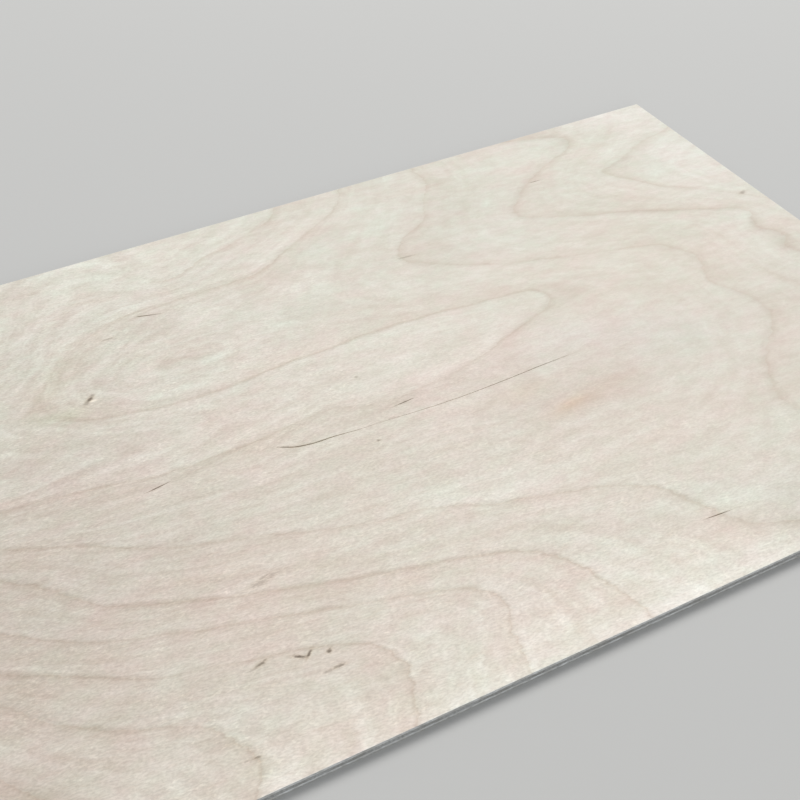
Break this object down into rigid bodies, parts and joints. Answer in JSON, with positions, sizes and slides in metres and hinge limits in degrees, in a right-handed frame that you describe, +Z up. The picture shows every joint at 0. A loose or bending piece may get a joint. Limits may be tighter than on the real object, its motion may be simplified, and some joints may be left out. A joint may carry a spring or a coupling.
{
  "type": "plywood sheet",
  "caption": "Flat rectangular sheet of thin plywood: face, core and back veneers glued face to face, sawn square, lying with its figured face up.",
  "frame": {"origin": "middle of the underside of the sheet", "axes": "+X along the sheet and along the grain of its face, +Y across the sheet, +Z up out of the good face"},
  "size_m": [0.3, 0.2, 0.003],
  "materials": {
    "face_veneer": "sanded, bare",
    "core_veneer": "sawn, bare",
    "back_veneer": "sanded, bare"
  },
  "bodies": {
    "root": {"face_veneer": "face_veneer", "core_veneer": "core_veneer", "back_veneer": "back_veneer"}
  },
  "joints": []
}
